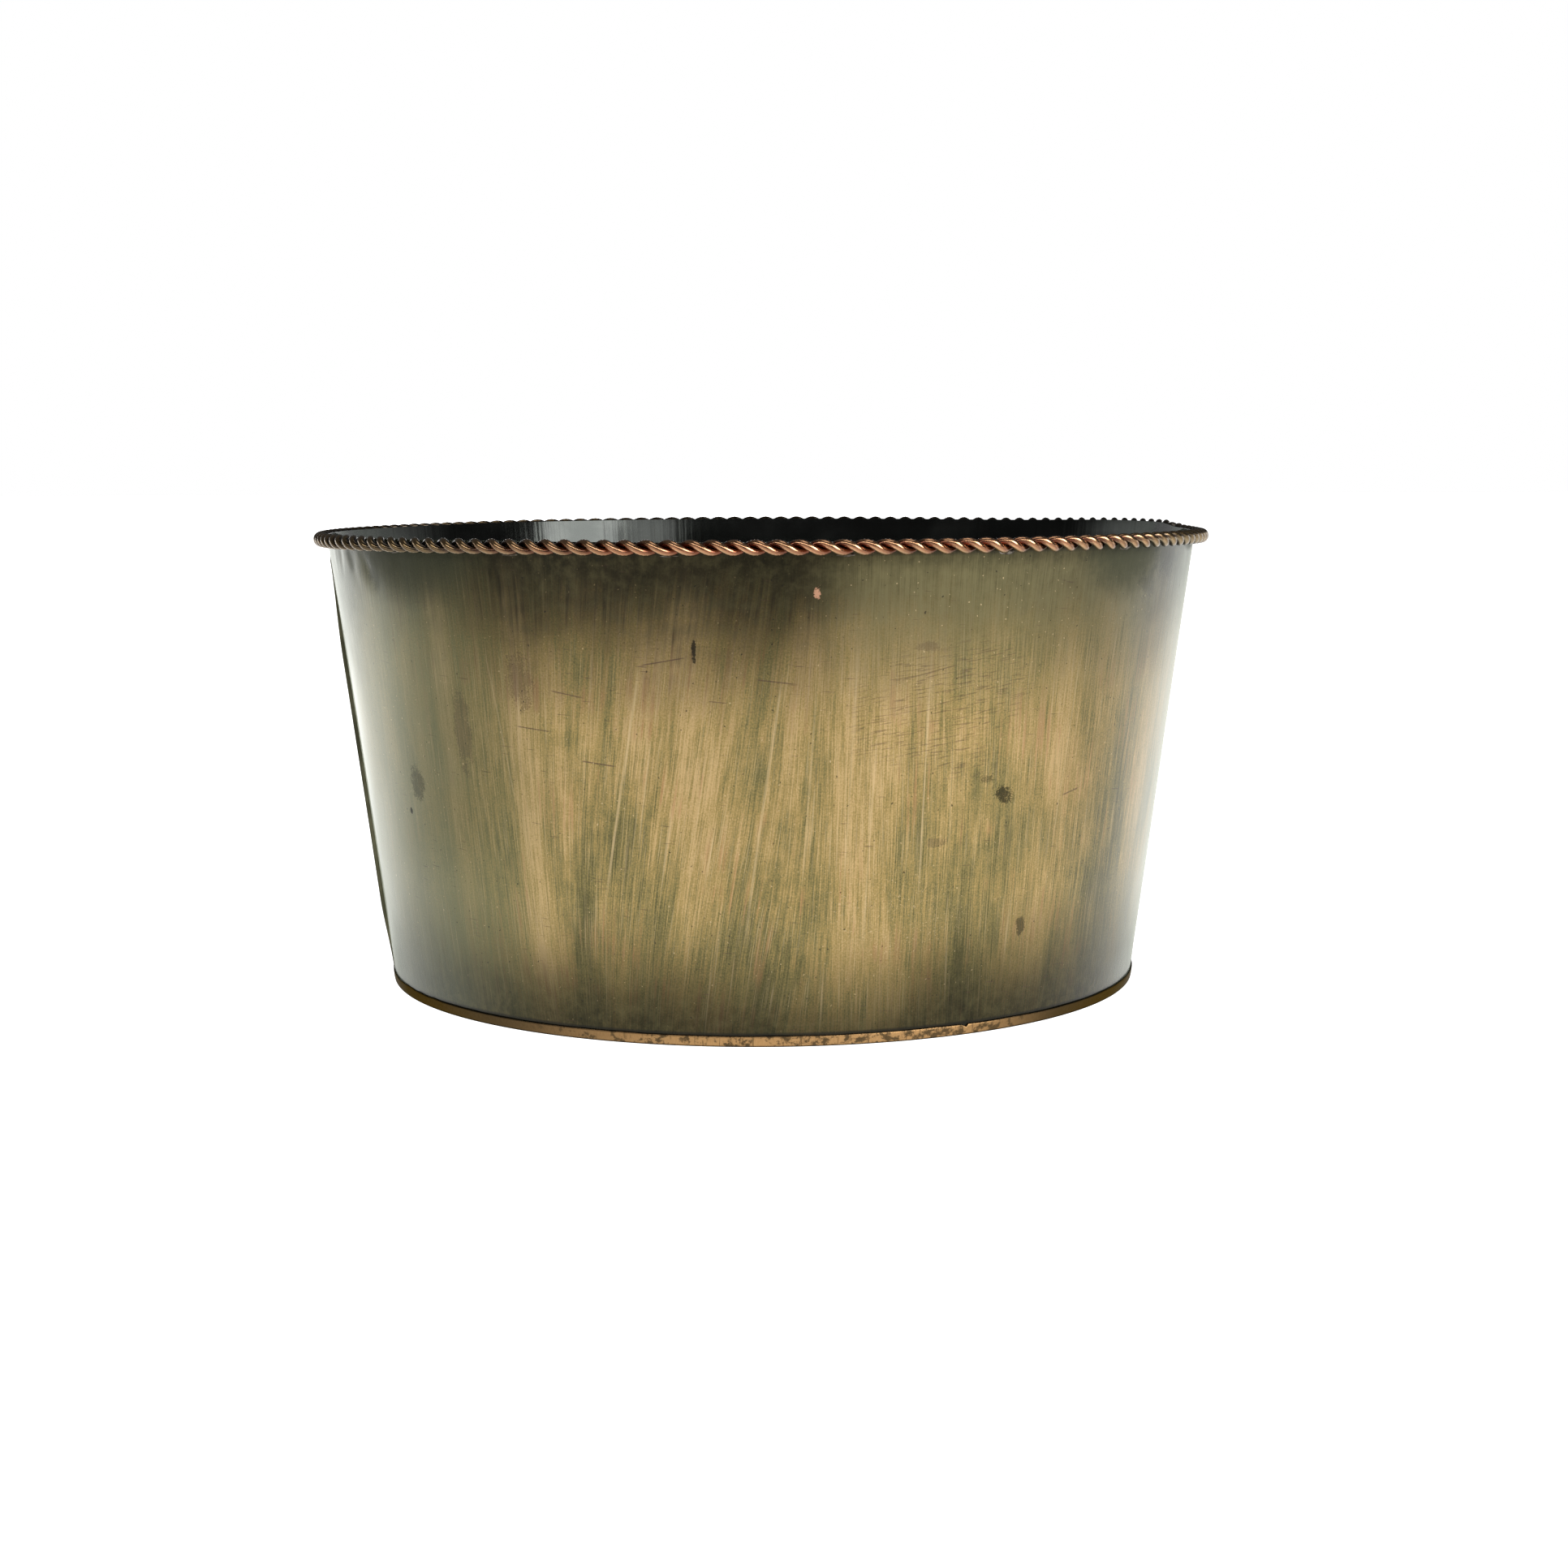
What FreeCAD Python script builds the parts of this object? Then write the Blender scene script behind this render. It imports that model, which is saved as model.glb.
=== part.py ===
import FreeCAD, Part
import math
import os

from FreeCAD import Placement, Rotation, Vector
from Sketcher import Constraint

# A tapered round planter of rolled sheet metal with a twisted wire rope round its rim.
# Origin at the centre of the underside, +Z up. Millimetres and degrees.

doc = FreeCAD.newDocument("Planter")

# ---------------------------------------------------------------- driving dimensions

sizes = {
    "sheet": 0.5,          # thickness of the wall and of the pan
    "fit": 0.03,           # film of solder between two pieces that are pushed together

    "footRadius": 128.0,   # outside of the wall at its foot
    "footHeight": 0.55,    # the foot stands on the pan's floor
    "lipRadius": 147.83,    # outside of the wall at its top edge
    "lipHeight": 154.2,

    "seamAzimuth": 189.0,  # where the sheet's two edges are folded together
    "seamWidth": 6.0,
    "seamProud": 1.35,     # the fold's height over its middle stretch
    "seamFlat": 0.3,       # and at both ends, where it is hammered down
    "seamFoot": 4.2,
    "seamLow": 28.0,
    "seamHigh": 112.0,
    "seamTop": 146.0,
    "seamRound": 0.28,
    "creaseWidth": 0.3,    # line on the inside where the two edges meet
    "creaseDepth": 0.2,

    "panRim": 3.55,        # height of the pan's upturned rim
    "panCorner": 0.4,
    "panRing": 119.0,      # inner radius of the flat ring that the pot rests on
    "panStep": 3.0,        # width of the sloping step inside that ring
    "panLift": 1.5,        # height of the pressed-up panel over the ring

    "ropeRadius": 150.13,   # from the pot's axis to the rope's own axis
    "ropeHeight": 152.6,
    "wireOffset": 1.24,    # from the rope's axis to the axis of each wire
    "wireRadius": 1.22,
    "ropeTurns": 74,
    "spliceAzimuth": 12.0,
    "spliceRadius": 2.3,
    "spliceRound": 0.5,

    "tackArc": 3.0,        # solder tacks under the rope
    "tackCount": 18,
    "tackTop": 1.0,        # their three corners, measured down from the rope's axis
    "tackFoot": 3.1,
    "tackEdge": 2.45,
    "tackInset": 1.55,

    "beadHeight": 1.7,     # solder bead inside, in the corner of wall and pan
    "beadWidth": 1.8,
}

sheet = doc.addObject("Spreadsheet::Sheet", "Sizes")
for row, (name, value) in enumerate(sizes.items(), start=1):
    sheet.set(f"A{row}", name)
    sheet.set(f"B{row}", str(value))
    sheet.setAlias(f"B{row}", name)
doc.recompute()


def size(name):
    return float(getattr(sheet, name))


# ---------------------------------------------------------------- outlines from expressions

wallSlope = ("((Sizes.lipRadius - Sizes.footRadius)"
             " / (Sizes.lipHeight - Sizes.footHeight))")


def wallOutside(height, inwards="0"):
    # expression for the wall's outer radius at a height, less a distance inwards
    return f"Sizes.footRadius + ({height} - Sizes.footHeight) * {wallSlope} - ({inwards})"


def originPlane(body, role):
    return next(item for item in body.Origin.OriginFeatures if item.Role == role)


def addOutline(body, name, corners):
    # closed outline in the plane of X and Z, each corner given as two expressions
    sketch = body.newObject("Sketcher::SketchObject", name)
    sketch.AttachmentSupport = [(originPlane(body, "XZ_Plane"), "")]
    sketch.MapMode = "FlatFace"
    places = [Vector(float(sheet.evalExpression(across)), float(sheet.evalExpression(up)), 0)
              for across, up in corners]
    for here, there in zip(places, places[1:] + places[:1]):
        sketch.addGeometry(Part.LineSegment(here, there), False)
    for line in range(len(places)):
        sketch.addConstraint(Constraint("Coincident", line, 2, (line + 1) % len(places), 1))
    for line, (place, corner) in enumerate(zip(places, corners)):
        for kind, distance, expression in zip(("DistanceX", "DistanceY"), place, corner):
            if distance == 0:
                axis = -2 if kind == "DistanceX" else -1
                sketch.addConstraint(Constraint("PointOnObject", line, 1, axis))
                continue
            index = sketch.addConstraint(Constraint(kind, -1, 1, line, 1, distance))
            sketch.setExpression(f"Constraints[{index}]", expression)
    return sketch


def addBody(name, azimuth=None):
    body = doc.addObject("PartDesign::Body", name)
    body.Label = name
    if azimuth:
        body.setExpression("Placement.Rotation.Angle", f"Sizes.{azimuth}")
        body.Placement = Placement(Vector(0, 0, 0), Rotation(Vector(0, 0, 1), size(azimuth)))
    return body


def revolve(body, name, outline, angle="360"):
    feature = body.newObject("PartDesign::Revolution", name)
    feature.Profile = outline
    feature.ReferenceAxis = (outline, ["V_Axis"])
    feature.setExpression("Angle", angle)
    feature.Midplane = angle != "360"
    outline.Visibility = False
    doc.recompute()
    return feature


def extrudeBothWays(body, kind, name, outline, width):
    feature = body.newObject(kind, name)
    feature.Profile = outline
    feature.Midplane = True
    feature.setExpression("Length", width)
    doc.recompute()
    return feature


def addFillet(body, name, radius, isWanted):
    base = body.Tip
    edges = [f"Edge{i}" for i, edge in enumerate(base.Shape.Edges, start=1) if isWanted(edge)]
    fillet = body.newObject("PartDesign::Fillet", name)
    fillet.Base = (base, edges)
    fillet.setExpression("Radius", radius)
    doc.recompute()
    return fillet


# ---------------------------------------------------------------- wall

def makeWall():
    # one sheet rolled into a cone, with the fold of its side seam on the outside
    wall = addBody("body_wall", "seamAzimuth")
    section = addOutline(wall, "WallSection", [
        (wallOutside("Sizes.footHeight", "Sizes.sheet"), "Sizes.footHeight"),
        (wallOutside("Sizes.footHeight"), "Sizes.footHeight"),
        (wallOutside("Sizes.lipHeight"), "Sizes.lipHeight"),
        (wallOutside("Sizes.lipHeight", "Sizes.sheet"), "Sizes.lipHeight"),
    ])
    revolve(wall, "RolledSheet", section)

    def seamCorner(height, proud):
        return (wallOutside(height, f"0 - ({proud})"), height)

    middle = "0 - Sizes.sheet / 2"
    fold = addOutline(wall, "SeamSection", [
        seamCorner("Sizes.seamFoot", middle),
        seamCorner("Sizes.seamFoot", "Sizes.seamFlat"),
        seamCorner("Sizes.seamLow", "Sizes.seamProud"),
        seamCorner("Sizes.seamHigh", "Sizes.seamProud"),
        seamCorner("Sizes.seamTop", "Sizes.seamFlat"),
        seamCorner("Sizes.seamTop", middle),
    ])
    extrudeBothWays(wall, "PartDesign::Pad", "FoldedSeam", fold, "Sizes.seamWidth")

    halfWidth = size("seamWidth") / 2

    def runsAlongFold(edge):
        ends = [vertex.Point for vertex in edge.Vertexes]
        beside = all(abs(abs(end.y) - halfWidth) < 0.01 for end in ends)
        rises = len(ends) == 2 and abs(ends[0].z - ends[1].z) > 10
        return beside and rises and all(isProud(end) for end in ends)

    def isProud(end):
        height = f"{end.z}"
        return end.x > float(sheet.evalExpression(wallOutside(height))) + size("seamFlat") / 2

    addFillet(wall, "RoundedFold", "Sizes.seamRound", runsAlongFold)

    crease = addOutline(wall, "CreaseSection", [
        (wallOutside("Sizes.footHeight", "2 * Sizes.sheet"), "Sizes.footHeight / 2"),
        (wallOutside("Sizes.footHeight", "Sizes.sheet - Sizes.creaseDepth"), "Sizes.footHeight / 2"),
        (wallOutside("Sizes.lipHeight", "Sizes.sheet - Sizes.creaseDepth"), "Sizes.lipHeight + 1"),
        (wallOutside("Sizes.lipHeight", "2 * Sizes.sheet"), "Sizes.lipHeight + 1"),
    ])
    before = wall.Shape.Volume
    extrudeBothWays(wall, "PartDesign::Pocket", "InnerCrease", crease, "Sizes.creaseWidth")
    print("crease takes", round(before - wall.Shape.Volume, 2), "mm3")
    return wall


# ---------------------------------------------------------------- base pan

def makePan():
    # disc with an upturned rim outside the wall's foot and a pressed-up panel inside its ring
    pan = addBody("base_pan")
    inside = "0 - Sizes.fit"
    outside = "0 - Sizes.fit - Sizes.sheet"
    section = addOutline(pan, "PanSection", [
        ("0", "Sizes.panLift"),
        ("Sizes.panRing - Sizes.panStep", "Sizes.panLift"),
        ("Sizes.panRing", "0"),
        (wallOutside("0", outside), "0"),
        (wallOutside("Sizes.panRim", outside), "Sizes.panRim"),
        (wallOutside("Sizes.panRim", inside), "Sizes.panRim"),
        (wallOutside("Sizes.sheet", inside), "Sizes.sheet"),
        ("Sizes.panRing", "Sizes.sheet"),
        ("Sizes.panRing - Sizes.panStep", "Sizes.panLift + Sizes.sheet"),
        ("0", "Sizes.panLift + Sizes.sheet"),
    ])
    revolve(pan, "PressedDisc", section)

    cornerRadius = float(sheet.evalExpression(wallOutside("0", outside)))

    def isBottomCorner(edge):
        curve = edge.Curve
        return hasattr(curve, "Radius") and abs(curve.Radius - cornerRadius) < 0.01

    addFillet(pan, "PanCorner", "Sizes.panCorner", isBottomCorner)
    return pan


# ---------------------------------------------------------------- rope of two twisted wires

halfTurns = 2 * int(size("ropeTurns"))
halfTurnAngle = 360.0 / halfTurns
stationsPerHalfTurn = 8


def ringVector(azimuth, outwards, up):
    return Vector(outwards * math.cos(azimuth), outwards * math.sin(azimuth), up)


def wireAxis(turn, phase):
    # point on a wire's axis and the direction it runs in; turn counts full twists of the rope
    azimuth = 2 * math.pi * turn / size("ropeTurns")
    twist = phase - 2 * math.pi * turn
    offset = size("wireOffset")
    outwards = size("ropeRadius") + offset * math.cos(twist)
    point = ringVector(azimuth, outwards, size("ropeHeight") + offset * math.sin(twist))
    along = Vector(-math.sin(azimuth), math.cos(azimuth), 0) * (outwards / size("ropeTurns"))
    swing = ringVector(azimuth, offset * math.sin(twist), -offset * math.cos(twist))
    return point, (along + swing).normalize()


def wireSection(turn, phase):
    point, direction = wireAxis(turn, phase)
    return Part.Wire(Part.makeCircle(size("wireRadius"), point, direction))


def makeWire(name, phase):
    # each half turn is lofted once and then repeated round the rim, one half turn short of closing
    skins = []
    for half in range(2):
        turns = [(half + station / stationsPerHalfTurn) / 2
                 for station in range(stationsPerHalfTurn + 1)]
        skins.append(Part.makeLoft([wireSection(turn, phase) for turn in turns], False, False))
    faces = []
    for step in range(halfTurns - 1):
        skin = skins[step % 2].copy()
        skin.rotate(Vector(0, 0, 0), Vector(0, 0, 1), (step - step % 2) * halfTurnAngle)
        faces.extend(skin.Faces)
    for end in (0, (halfTurns - 1) / 2):
        faces.append(Part.Face(wireSection(end, phase)))
    skin = Part.makeShell(faces)
    skin.sewShape()
    wire = doc.addObject("Part::Feature", name)
    wire.Label = name
    solid = Part.makeSolid(Part.Shell(skin.Faces))
    if solid.Volume < 0:
        solid.reverse()
    wire.Shape = solid
    azimuth = size("spliceAzimuth") + halfTurnAngle / 2
    wire.Placement = Placement(Vector(0, 0, 0), Rotation(Vector(0, 0, 1), azimuth))
    return wire


def makeSplice():
    # drop of solder that fills the last half turn and joins the ends of both wires
    splice = addBody("rim_splice", "spliceAzimuth")
    section = splice.newObject("Sketcher::SketchObject", "SpliceSection")
    section.AttachmentSupport = [(originPlane(splice, "XZ_Plane"), "")]
    section.MapMode = "FlatFace"
    centre = Vector(size("ropeRadius"), size("ropeHeight"), 0)
    section.addGeometry(Part.Circle(centre, Vector(0, 0, 1), size("spliceRadius")), False)
    radius = section.addConstraint(Constraint("Radius", 0, size("spliceRadius")))
    across = section.addConstraint(Constraint("DistanceX", -1, 1, 0, 3, centre.x))
    up = section.addConstraint(Constraint("DistanceY", -1, 1, 0, 3, centre.y))
    section.setExpression(f"Constraints[{radius}]", "Sizes.spliceRadius")
    section.setExpression(f"Constraints[{across}]", "Sizes.ropeRadius")
    section.setExpression(f"Constraints[{up}]", "Sizes.ropeHeight")
    gap = "180 / pi * 2 * Sizes.fit / Sizes.ropeRadius"
    revolve(splice, "SolderDrop", section, f"180 / Sizes.ropeTurns - {gap}")
    addFillet(splice, "RoundedDrop", "Sizes.spliceRound", lambda edge: True)
    return splice


# ---------------------------------------------------------------- solder

def makeTacks():
    # short fillets of solder that hold the rope to the wall, in the crook below the rope
    tacks = addBody("rim_solder")
    touching = "0 - Sizes.fit"

    def below(distance):
        return f"(Sizes.ropeHeight - Sizes.{distance})"

    section = addOutline(tacks, "TackSection", [
        (wallOutside(below("tackTop"), touching), below("tackTop")),
        (wallOutside(below("tackFoot"), touching), below("tackFoot")),
        ("Sizes.ropeRadius - Sizes.tackInset", below("tackEdge")),
    ])
    tack = revolve(tacks, "Tack", section, "Sizes.tackArc")
    ring = tacks.newObject("PartDesign::PolarPattern", "TackRing")
    ring.Originals = [tack]
    ring.Axis = (section, ["V_Axis"])
    ring.Angle = 360
    ring.setExpression("Occurrences", "Sizes.tackCount")
    tacks.Tip = ring
    doc.recompute()
    return tacks


def makeBead():
    # bead of solder inside, where the wall's foot stands on the pan
    bead = addBody("base_solder")
    floor = "Sizes.sheet + Sizes.fit"
    against = "Sizes.sheet + Sizes.fit"
    top = f"({floor} + Sizes.beadHeight)"
    section = addOutline(bead, "BeadSection", [
        (wallOutside("Sizes.footHeight", against), floor),
        (wallOutside(top, against), top),
        (wallOutside("Sizes.footHeight", f"{against} + Sizes.beadWidth"), floor),
    ])
    revolve(bead, "SolderBead", section)
    return bead


# ---------------------------------------------------------------- checks and files

pieces = [
    makeWall(),
    makePan(),
    makeWire("rim_wire_a", 0.0),
    makeWire("rim_wire_b", math.pi),
    makeSplice(),
    makeTacks(),
    makeBead(),
]
doc.recompute()

for item in doc.Objects:
    if {"Invalid", "Error"} & set(item.State):
        raise RuntimeError(f"{item.Label} failed: {item.State}")

os.makedirs("parts", exist_ok=True)
for piece in pieces:
    shape = piece.Shape
    if shape.isNull() or not shape.isValid() or not shape.Solids:
        raise RuntimeError(f"{piece.Label} has no valid shape")
    box = shape.BoundBox
    print(piece.Label, "solids", len(shape.Solids), "faces", len(shape.Faces),
          "volume", round(shape.Volume, 1), "z", round(box.ZMin, 3), round(box.ZMax, 3),
          "x", round(box.XMin, 3), round(box.XMax, 3))
    shape.exportStep(f"parts/{piece.Label}.step")
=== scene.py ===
import math

import bmesh
import bpy
from mathutils import Matrix, Vector, noise


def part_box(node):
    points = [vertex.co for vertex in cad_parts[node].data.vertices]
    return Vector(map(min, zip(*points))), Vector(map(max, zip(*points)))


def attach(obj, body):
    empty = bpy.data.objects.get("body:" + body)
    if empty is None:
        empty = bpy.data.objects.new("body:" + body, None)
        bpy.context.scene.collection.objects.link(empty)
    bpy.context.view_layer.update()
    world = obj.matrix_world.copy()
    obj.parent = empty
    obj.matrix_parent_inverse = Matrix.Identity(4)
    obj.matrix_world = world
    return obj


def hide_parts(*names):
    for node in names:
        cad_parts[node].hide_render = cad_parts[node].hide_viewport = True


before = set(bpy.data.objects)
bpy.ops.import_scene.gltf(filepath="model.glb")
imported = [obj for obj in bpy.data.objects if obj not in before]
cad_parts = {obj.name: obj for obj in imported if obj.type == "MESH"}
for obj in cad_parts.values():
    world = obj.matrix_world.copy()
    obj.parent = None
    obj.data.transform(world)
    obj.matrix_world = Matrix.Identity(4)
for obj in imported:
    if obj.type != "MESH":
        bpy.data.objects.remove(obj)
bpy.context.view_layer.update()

mm = 0.001
wallLow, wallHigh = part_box("body_wall")
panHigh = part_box("base_pan")[1]
wireLow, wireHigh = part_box("rim_wire_a")
print("frame loaded:", ", ".join(sorted(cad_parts)))

# what the pieces share, from the frame where it says it
pot = {
    "sheet": 0.5 * mm,
    "footRadius": 128.0 * mm,
    "footHeight": wallLow.z,
    "lipRadius": wallHigh.x,
    "lipHeight": wallHigh.z - 0.1 * mm,
    "seamAzimuth": math.radians(189),     # where the sheet's edges are folded together
    "rimLow": 1.0 * mm,                   # how far the rim lies below its highest place
    "rimDip": 0.9 * mm,                   # its left side, lower still
    "rimDipAzimuth": math.radians(178),
    "rimDipWidth": math.radians(48),
    "rimWave": 0.12 * mm,
    "kinkAzimuth": math.radians(9),       # past this the rim is bent up
    "kinkRise": (-2, 6),                  # bent up between these, in degrees past the kink
    "kinkFall": (14, 46),                 # and down again between these
    "kinkDip": (-12, 13, 0.65),           # the dip before it: middle, half width, share of the rise
}
slope = (pot["lipRadius"] - pot["footRadius"]) / (wallHigh.z - pot["footHeight"])


def wallRadius(height):
    return pot["footRadius"] + (height - pot["footHeight"]) * slope


def rimSag(azimuth):
    # how far the rim lies below its highest place
    dip = math.exp(-(angleBetween(azimuth, pot["rimDipAzimuth"]) / pot["rimDipWidth"]) ** 2)
    past = math.degrees(angleBetween(azimuth, pot["kinkAzimuth"]))
    middle, half, share = pot["kinkDip"]
    raised = smoothStep(*pot["kinkRise"], past) * (1 - smoothStep(*pot["kinkFall"], past))
    raised -= share * math.exp(-((past - middle) / half) ** 2)
    uneven = 0.5 + 0.5 * noise.noise(onRing(azimuth, 3.0, 4))
    return -pot["rimLow"] * (1 - raised) - pot["rimDip"] * dip - pot["rimWave"] * uneven * abs(1 - raised)


def smoothStep(low, high, value):
    share = min(1.0, max(0.0, (value - low) / (high - low)))
    return share * share * (3 - 2 * share)


def angleBetween(azimuth, other):
    return (azimuth - other + math.pi) % (2 * math.pi) - math.pi


def onRing(azimuth, radius, height):
    return Vector((radius * math.cos(azimuth), radius * math.sin(azimuth), height))


camera = {
    "place": Vector((7.5, -885.9, 176.8)) * mm,
    "pitch": math.radians(82.75),
    "roll": math.radians(-0.16),
    "lens": 58.63,
    "sensor": 36.0,
    "nearest": 0.01,
}


def addCamera():
    data = bpy.data.cameras.new("camera")
    data.lens = camera["lens"]
    data.sensor_width = camera["sensor"]
    data.clip_start = camera["nearest"]
    obj = bpy.data.objects.new("camera", data)
    bpy.context.scene.collection.objects.link(obj)
    turn = Matrix.Rotation(camera["pitch"], 4, "X") @ Matrix.Rotation(camera["roll"], 4, "Z")
    obj.matrix_world = Matrix.Translation(camera["place"]) @ turn
    bpy.context.scene.camera = obj


class Signal:
    # a socket's value, so that sums on it add their Math nodes
    def __init__(self, tree, socket):
        self.tree = tree
        self.socket = socket

    def math(self, operation, other=0.0, swapped=False):
        pair = (other, self) if swapped else (self, other)
        return self.tree.node("Math", {"operation": operation}, {0: pair[0], 1: pair[1]})

    def __add__(self, other):
        return self.math("ADD", other)

    def __sub__(self, other):
        return self.math("SUBTRACT", other)

    def __rsub__(self, other):
        return self.math("SUBTRACT", other, swapped=True)

    def __mul__(self, other):
        return self.math("MULTIPLY", other)

    __radd__ = __add__
    __rmul__ = __mul__

    def fade(self, low, high, start=0.0, end=1.0):
        # smooth change from start at low to end at high
        return self.tree.node("MapRange", {"interpolation_type": "SMOOTHSTEP"}, {
            "Value": self, "From Min": low, "From Max": high, "To Min": start, "To Max": end})


class Tree:
    # the nodes of one material or of the world
    def __init__(self, owner):
        owner.use_nodes = True
        self.owner = owner
        self.nodes = owner.node_tree.nodes
        self.links = owner.node_tree.links

    def node(self, kind, settings=None, sockets=None, output=0):
        made = self.nodes.new("ShaderNode" + kind)
        for name, value in (settings or {}).items():
            if name == "stops":
                setStops(made.color_ramp, value)
            else:
                setattr(made, name, value)
        for name, value in (sockets or {}).items():
            self.put(made.inputs[name], value)
        return Signal(self, made.outputs[output])

    def put(self, socket, value):
        if isinstance(value, Signal):
            self.links.new(value.socket, socket)
        elif socket.type == "RGBA":
            socket.default_value = (*value[:3], 1.0)
        else:
            socket.default_value = value

    def noise(self, vector, scale=1.0, detail=2.0, roughness=0.5, warp=0.0):
        return self.node("TexNoise", {"noise_dimensions": "3D"},
                         {"Vector": vector, "Scale": scale, "Detail": detail,
                          "Roughness": roughness, "Distortion": warp})

    def mix(self, share, first, second):
        made = self.nodes.new("ShaderNodeMix")
        made.data_type = "RGBA"
        for socket, value in zip((made.inputs[0], made.inputs[6], made.inputs[7]), (share, first, second)):
            self.put(socket, value)
        return Signal(self, made.outputs[2])

    def vector(self, x=0.0, y=0.0, z=0.0):
        return self.node("CombineXYZ", sockets={"X": x, "Y": y, "Z": z})

    def parts(self, vector):
        made = self.nodes.new("ShaderNodeSeparateXYZ")
        self.put(made.inputs[0], vector)
        return [Signal(self, output) for output in made.outputs]


def setStops(ramp, stops):
    while len(ramp.elements) < len(stops):
        ramp.elements.new(0.5)
    for element, (position, colour) in zip(ramp.elements, stops):
        element.position = position
        element.color = (*colour, 1.0)


def newFinish(name):
    return Tree(bpy.data.materials.new(name))


def surfaceOf(tree, **values):
    surface = tree.nodes["Principled BSDF"]
    for name, value in values.items():
        tree.put(surface.inputs[name], value)
    return tree.owner


def coverWith(tree, share, **values):
    # a second finish over the first, where share is 1
    surface = Signal(tree, tree.nodes["Principled BSDF"].outputs[0])
    cover = tree.node("BsdfPrincipled", sockets=values)
    both = tree.node("MixShader", sockets={0: share, 1: surface, 2: cover})
    tree.put(tree.nodes["Material Output"].inputs["Surface"], both)
    return tree.owner


studio = {
    "seen": 1.0,                     # what the camera sees behind the pot
    "room": 0.07,                    # dark room at the sides and behind the camera
    "backdrop": 1.35,                # lit backdrop behind the pot, and its soft sides and top
    "backdropSides": (0.12, 0.50),
    "backdropTop": (0.06, 0.17),
    "overhead": 0.9,
    "overheadEdge": (0.95, 0.97),
    "front": 3.4,                    # long lamp before the pot, above the camera
    "frontLow": (0.38, 0.41),
    "frontHigh": (0.52, 0.56),
    "frontEnds": (-0.5, -0.2),
    "panel": 4.6,                    # soft box at the front and right, its azimuths in degrees
    "panelFrom": (-47.5, -45.5),
    "panelTo": (-24, -21),
    "panelLow": (0.04, 0.10),
    "panelHigh": (0.60, 0.72),
    "panelEdge": 1.6,                # its dimmer edge
    "panelEdgeFrom": (-64.5, -63.5),
    "floorSize": 12.0,
    "floorColour": (0.30, 0.30, 0.30),
    "floorGlow": 1.05,
    "dimLeft": 0.50,                 # the light on the floor falls off beside the pot
    "dimRight": 0.78,
    "dimNear": (0.05, 0.10),         # but not close to it
    "dimFar": 0.45,                  # and further off in front of it
    "farFrom": (0.46, 0.70),
    "farSides": (0.5, 1.0),
    "liftLeft": 0.74,                # and it is brightest behind the pot at the left
}


def addFloor(name, colour, glow, isSeen):
    mesh = bmesh.new()
    bmesh.ops.create_grid(mesh, x_segments=1, y_segments=1, size=studio["floorSize"])
    data = bpy.data.meshes.new(name)
    mesh.to_mesh(data)
    mesh.free()
    floor = bpy.data.objects.new(name, data)
    bpy.context.scene.collection.objects.link(floor)
    for ray in ("diffuse", "glossy"):
        setattr(floor, f"visible_{ray}", not isSeen)
    floor.visible_camera = isSeen
    floor.visible_shadow = False
    paint = Tree(bpy.data.materials.new(name))
    surfaceOf(paint, **{"Base Color": colour, "Roughness": 0.9, "Specular IOR Level": 0.1,
                        "Emission Color": glow(paint), "Emission Strength": studio["floorGlow"]})
    data.materials.append(paint.owner)


def floorLight(tree):
    # bright in front of the pot and behind it, dimmer at its sides
    place = tree.node("TexCoord", output="Object")
    x, y = tree.parts(place)[:2]
    around = x.math("ARCTAN2", y) * (180 / math.pi)
    left = around.fade(-138, -106) - around.fade(-92, -64)
    right = around.fade(68, 84) - around.fade(92, 118)
    near = 1 - (x * x + y * y).fade(*studio["dimNear"])
    light = 1 - (left * (1 - studio["dimLeft"]) + right * (1 - studio["dimRight"])) * (1 - near * 0.5)
    far = (0 - y).fade(*studio["farFrom"]) * (1 - x.math("ABSOLUTE").fade(*studio["farSides"]))
    light = light * (1 - far * (1 - studio["dimFar"]))
    light = light + (around.fade(-54, -26) - around.fade(-8, 8)) * studio["liftLeft"]
    return tree.vector(light, light, light)


def addStudio():
    world = bpy.data.worlds.new("studio")
    bpy.context.scene.world = world
    tree = Tree(world)
    away = tree.node("TexCoord", output="Generated")
    x, y, z = tree.parts(away)
    azimuth = y.math("ARCTAN2", x) * (180 / math.pi)
    backdrop = y.fade(*studio["backdropSides"]) * (1 - z.fade(*studio["backdropTop"])) * studio["backdrop"]
    rise = z.fade(*studio["panelLow"]) * (1 - z.fade(*studio["panelHigh"]))
    past = azimuth.fade(*studio["panelTo"])
    beside = (azimuth.fade(*studio["panelEdgeFrom"]) - past) * studio["panelEdge"]
    beside = beside + (azimuth.fade(*studio["panelFrom"]) - past) * studio["panel"]
    front = z.fade(*studio["frontLow"]) - z.fade(*studio["frontHigh"])
    front = front * (1 - y.fade(*studio["frontEnds"])) * studio["front"]
    above = z.fade(*studio["overheadEdge"]) * studio["overhead"]
    light = backdrop + beside * rise + front + above + studio["room"]
    isSeen = tree.node("LightPath", output="Is Camera Ray")
    shade = tree.mix(isSeen, tree.vector(light, light, light), (studio["seen"],) * 3)
    background = tree.nodes["Background"]
    tree.put(background.inputs["Color"], shade)
    background.inputs["Strength"].default_value = 1.0
    addFloor("floor", studio["floorColour"], lambda paint: (1.0, 1.0, 1.0), isSeen=True)
    addFloor("floor_light", (0.0, 0.0, 0.0), floorLight, isSeen=False)
    bpy.context.scene.view_settings.view_transform = "Standard"


addCamera()
addStudio()
print("camera and studio set")


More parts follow.
